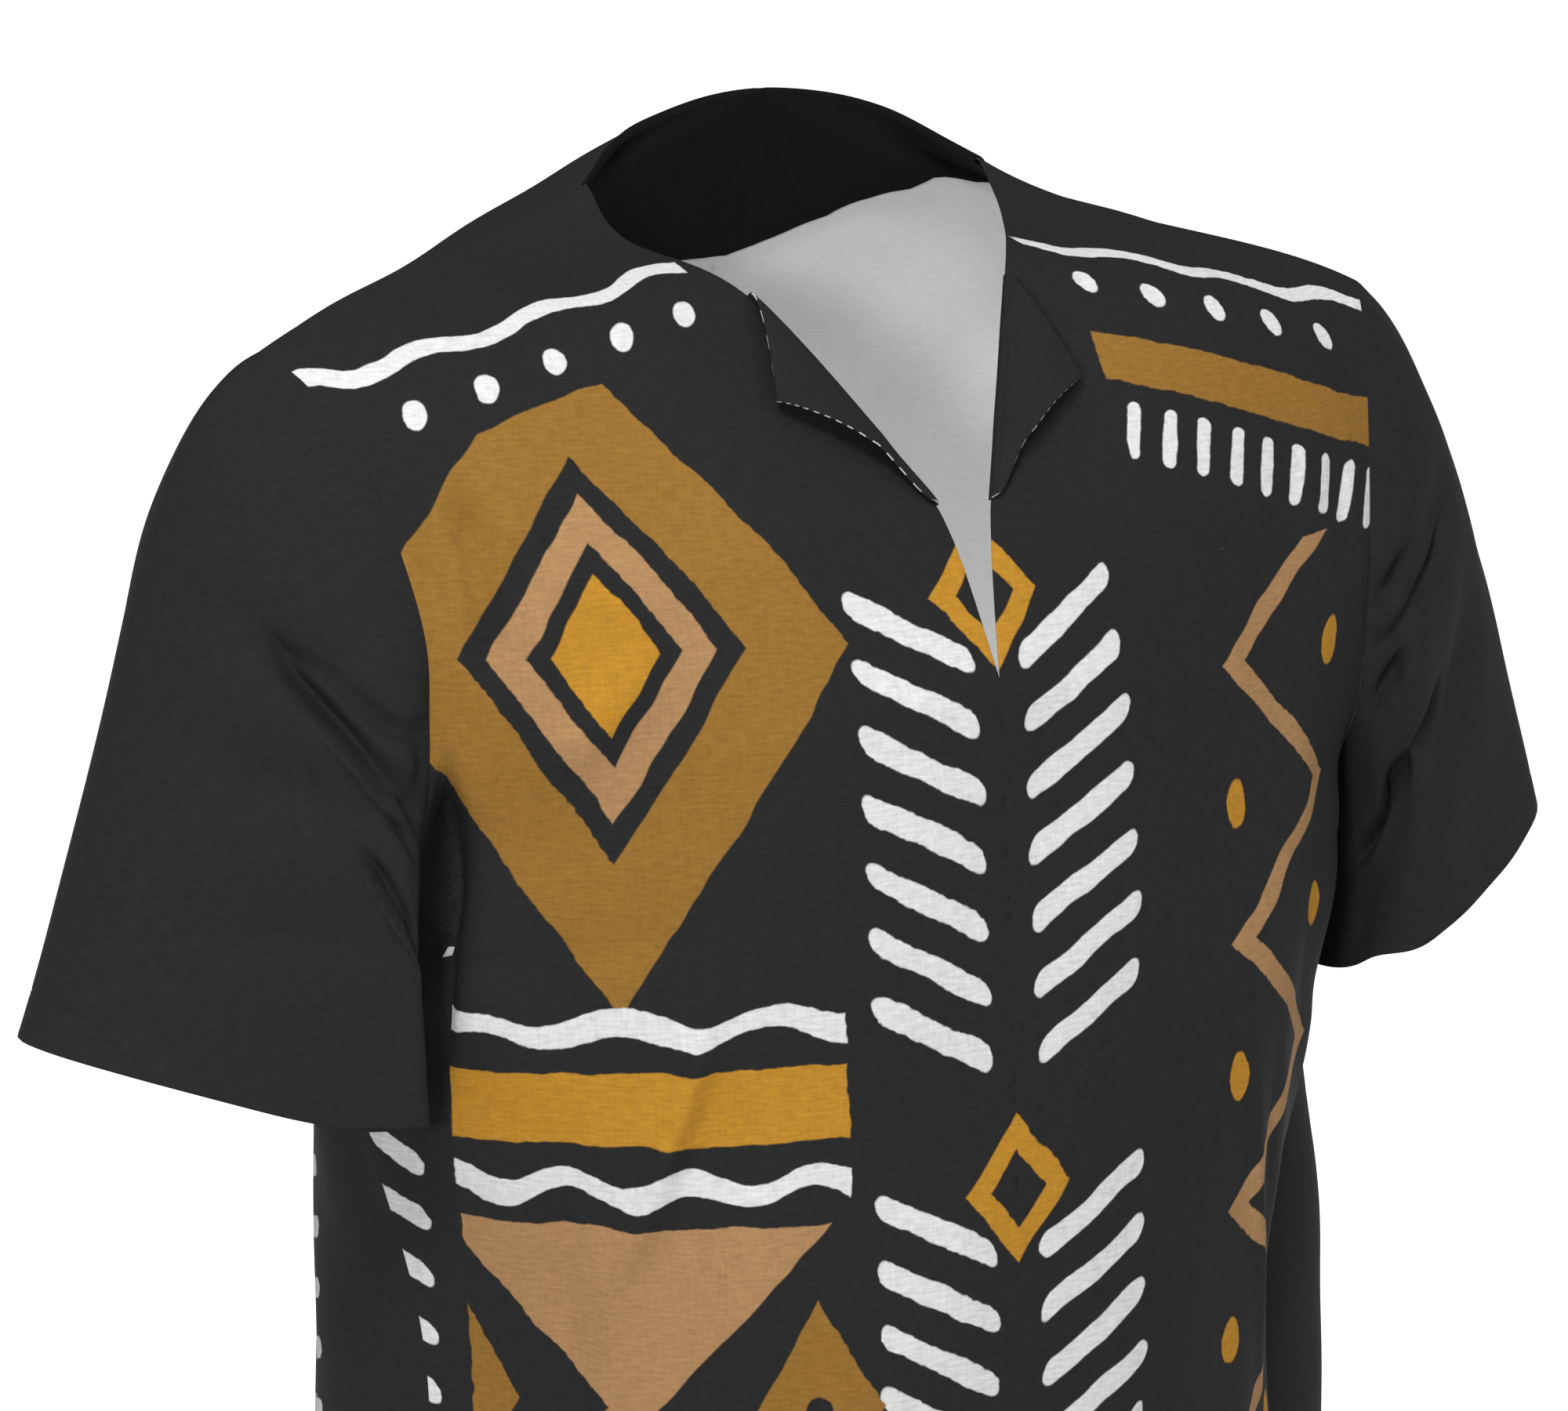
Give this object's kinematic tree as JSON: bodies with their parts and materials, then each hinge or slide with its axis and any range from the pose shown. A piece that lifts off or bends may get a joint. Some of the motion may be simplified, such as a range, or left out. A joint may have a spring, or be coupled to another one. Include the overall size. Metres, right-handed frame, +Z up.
{
  "type": "dashiki shirt",
  "caption": "Short-sleeved pullover dashiki shirt, filled out with no wearer, with a round slit neck whose corners turn out, set-in sleeves and a straight hem.",
  "frame": {"origin": "the point between the wearer's shoulders at the base of the neck, where the shirt hangs from the wearer", "axes": "+Z up along the wearer's height, -Y towards the front of the shirt, +X towards the wearer's left"},
  "size_m": [0.711, 0.2957, 0.7801],
  "materials": {
    "printed_cloth": "matte",
    "charcoal_cloth": "matte"
  },
  "bodies": {
    "root": {"front_panel": "printed_cloth", "back_panel": "printed_cloth", "sleeve_right": "charcoal_cloth", "sleeve_left": "charcoal_cloth", "slit_facing_right": "charcoal_cloth", "slit_facing_left": "charcoal_cloth", "back_neck_facing": "charcoal_cloth"}
  },
  "joints": []
}
